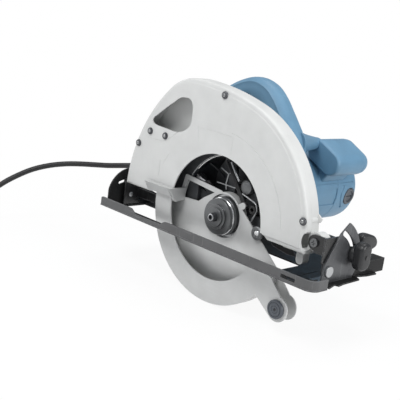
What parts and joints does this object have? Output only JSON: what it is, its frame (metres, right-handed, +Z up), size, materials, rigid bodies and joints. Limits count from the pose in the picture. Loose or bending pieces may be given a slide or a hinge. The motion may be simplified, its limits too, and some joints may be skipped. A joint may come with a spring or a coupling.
{
  "type": "circular saw",
  "caption": "Hand-held electric circular saw with upper and lower blade guards, D-handle, front grip, tilting shoe and mains lead; no blade fitted.",
  "frame": {"origin": "middle of the main grip of the D-handle, on its parting plane", "axes": "+X towards the front of the shoe, +Y from the blade side towards the motor, +Z up with the shoe level"},
  "size_m": [0.858, 0.4784, 0.311],
  "materials": {
    "pale_casting": "fine cast, satin",
    "guard_sheet": "pressed sheet, satin",
    "grey_casting": "dark die-cast, matt",
    "blue_plastic": "fine-grained glass-filled nylon",
    "black_plastic": "fine-grained, satin",
    "grey_plastic": "satin",
    "black_steel": "black paint, worn at the edges",
    "quadrant_steel": "grey plated, satin",
    "flange_steel": "turned",
    "machined_steel": "turned",
    "bearing_steel": "ground",
    "zinc_plated": "zinc plated",
    "chrome_part": "bright",
    "dark_screw": "blackened",
    "lamination": "stacked sheet",
    "copper": "enamelled copper",
    "brass_part": "satin",
    "cord_rubber": "matt rubber"
  },
  "bodies": {
    "housing": {"blade_case": "pale_casting", "guard_cover": "pale_casting", "cover_screws": "dark_screw", "gear_case": "grey_casting", "case_screws": "zinc_plated", "bearing_retainer": "zinc_plated", "spindle_bearing_front": "bearing_steel", "spindle_bearing_rear": "bearing_steel", "motor_housing": "blue_plastic", "motor_end_cap": "blue_plastic", "field_core": "lamination", "field_coils": "copper", "brush_holders": "brass_part", "brushes": "black_plastic", "brush_caps": "grey_plastic", "armature_bearing_front": "bearing_steel", "armature_bearing_rear": "bearing_steel", "handle_shell_near": "blue_plastic", "handle_shell_far": "blue_plastic", "front_grip": "blue_plastic", "cord_guard": "cord_rubber", "power_cord": "cord_rubber", "cord_coil": "cord_rubber", "plug_body": "black_plastic", "plug_pins": "chrome_part", "switch_body": "black_plastic", "guard_spring": "black_steel", "guard_stop": "cord_rubber", "depth_bolt": "zinc_plated"},
    "arbor": {"spindle": "machined_steel", "output_gear": "machined_steel", "inner_flange": "flange_steel", "spacer_ring": "chrome_part", "outer_flange": "flange_steel", "blade_washer": "flange_steel", "blade_bolt": "dark_screw"},
    "armature": {"armature_shaft": "machined_steel", "armature_core": "lamination", "armature_windings": "copper", "commutator": "copper", "cooling_fan": "black_plastic"},
    "lower_guard_group": {"lower_guard": "guard_sheet", "guard_lever": "guard_sheet", "roller_pin": "zinc_plated"},
    "near_roller": {"guard_roller_near": "machined_steel"},
    "far_roller": {"guard_roller_far": "machined_steel"},
    "trigger_body": {"trigger": "black_plastic"},
    "lock_button_body": {"lock_button": "black_plastic"},
    "shaft_lock_body": {"shaft_lock": "black_plastic"},
    "tilt_frame": {"depth_bracket": "black_steel", "depth_pivot_screw": "chrome_part", "depth_guide": "zinc_plated", "bevel_bolt": "zinc_plated"},
    "depth_lever_body": {"depth_lever": "black_plastic"},
    "shoe_group": {"shoe": "black_steel", "front_quadrant": "quadrant_steel", "rear_quadrant": "quadrant_steel", "bevel_rivets": "zinc_plated"},
    "bevel_knob_body": {"bevel_knob": "black_plastic"},
    "fence_screw_body": {"fence_screw": "zinc_plated"}
  },
  "joints": [
    {"name": "armature_spin", "type": "hinge", "parent": "housing", "child": "armature", "pos_m": [0.0742, 0.02, -0.12267], "axis": [0, 1, 0], "continuous": true},
    {"name": "spindle_spin", "type": "hinge", "parent": "housing", "child": "arbor", "pos_m": [0.076, -0.08, -0.157], "axis": [0, 1, 0], "continuous": true},
    {"name": "guard_swing", "type": "hinge", "parent": "housing", "child": "lower_guard_group", "pos_m": [0.076, -0.068, -0.157], "axis": [0, 1, 0], "range_deg": [0, 115], "stiffness_Nm_per_rad": 0.35, "springref_deg": -91.67, "deforming": ["guard_spring"]},
    {"name": "near_roller_spin", "type": "hinge", "parent": "lower_guard_group", "child": "near_roller", "pos_m": [0.205, -0.0973, -0.243], "axis": [0, 1, 0], "continuous": true},
    {"name": "far_roller_spin", "type": "hinge", "parent": "lower_guard_group", "child": "far_roller", "pos_m": [0.205, -0.0727, -0.243], "axis": [0, 1, 0], "continuous": true},
    {"name": "trigger_squeeze", "type": "slide", "parent": "housing", "child": "trigger_body", "axis": [-0.5, 0, 0.866], "range_m": [0, 0.005], "stiffness_N_per_m": 900, "springref_m": -0.004},
    {"name": "lock_button_press", "type": "slide", "parent": "housing", "child": "lock_button_body", "axis": [0, -1, 0], "range_m": [0, 0.003], "stiffness_N_per_m": 600, "springref_m": -0.002},
    {"name": "shaft_lock_press", "type": "slide", "parent": "housing", "child": "shaft_lock_body", "axis": [1, 0, 0], "range_m": [0, 0.004], "stiffness_N_per_m": 900, "springref_m": -0.002},
    {"name": "depth_tilt", "type": "hinge", "parent": "housing", "child": "tilt_frame", "pos_m": [0.241, -0.08, -0.1445], "axis": [0, -1, 0], "range_deg": [0, 24]},
    {"name": "depth_lever_turn", "type": "hinge", "parent": "housing", "child": "depth_lever_body", "pos_m": [-0.04872, -0.062, -0.13185], "axis": [0, 1, 0], "range_deg": [0, 60]},
    {"name": "bevel_tilt", "type": "hinge", "parent": "tilt_frame", "child": "shoe_group", "pos_m": [0.076, -0.08, -0.176], "axis": [-1, 0, 0], "range_deg": [0, 45]},
    {"name": "bevel_knob_turn", "type": "hinge", "parent": "tilt_frame", "child": "bevel_knob_body", "pos_m": [0.271, -0.03208, -0.15856], "axis": [1, 0, 0], "range_deg": [0, 180]},
    {"name": "fence_screw_turn", "type": "hinge", "parent": "shoe_group", "child": "fence_screw_body", "pos_m": [0.2505, 0.012, -0.167], "axis": [0, 0, 1], "range_deg": [0, 180]}
  ],
  "couplings": [
    {"joint": "spindle_spin", "follows": "armature_spin", "ratio": -0.22222}
  ]
}
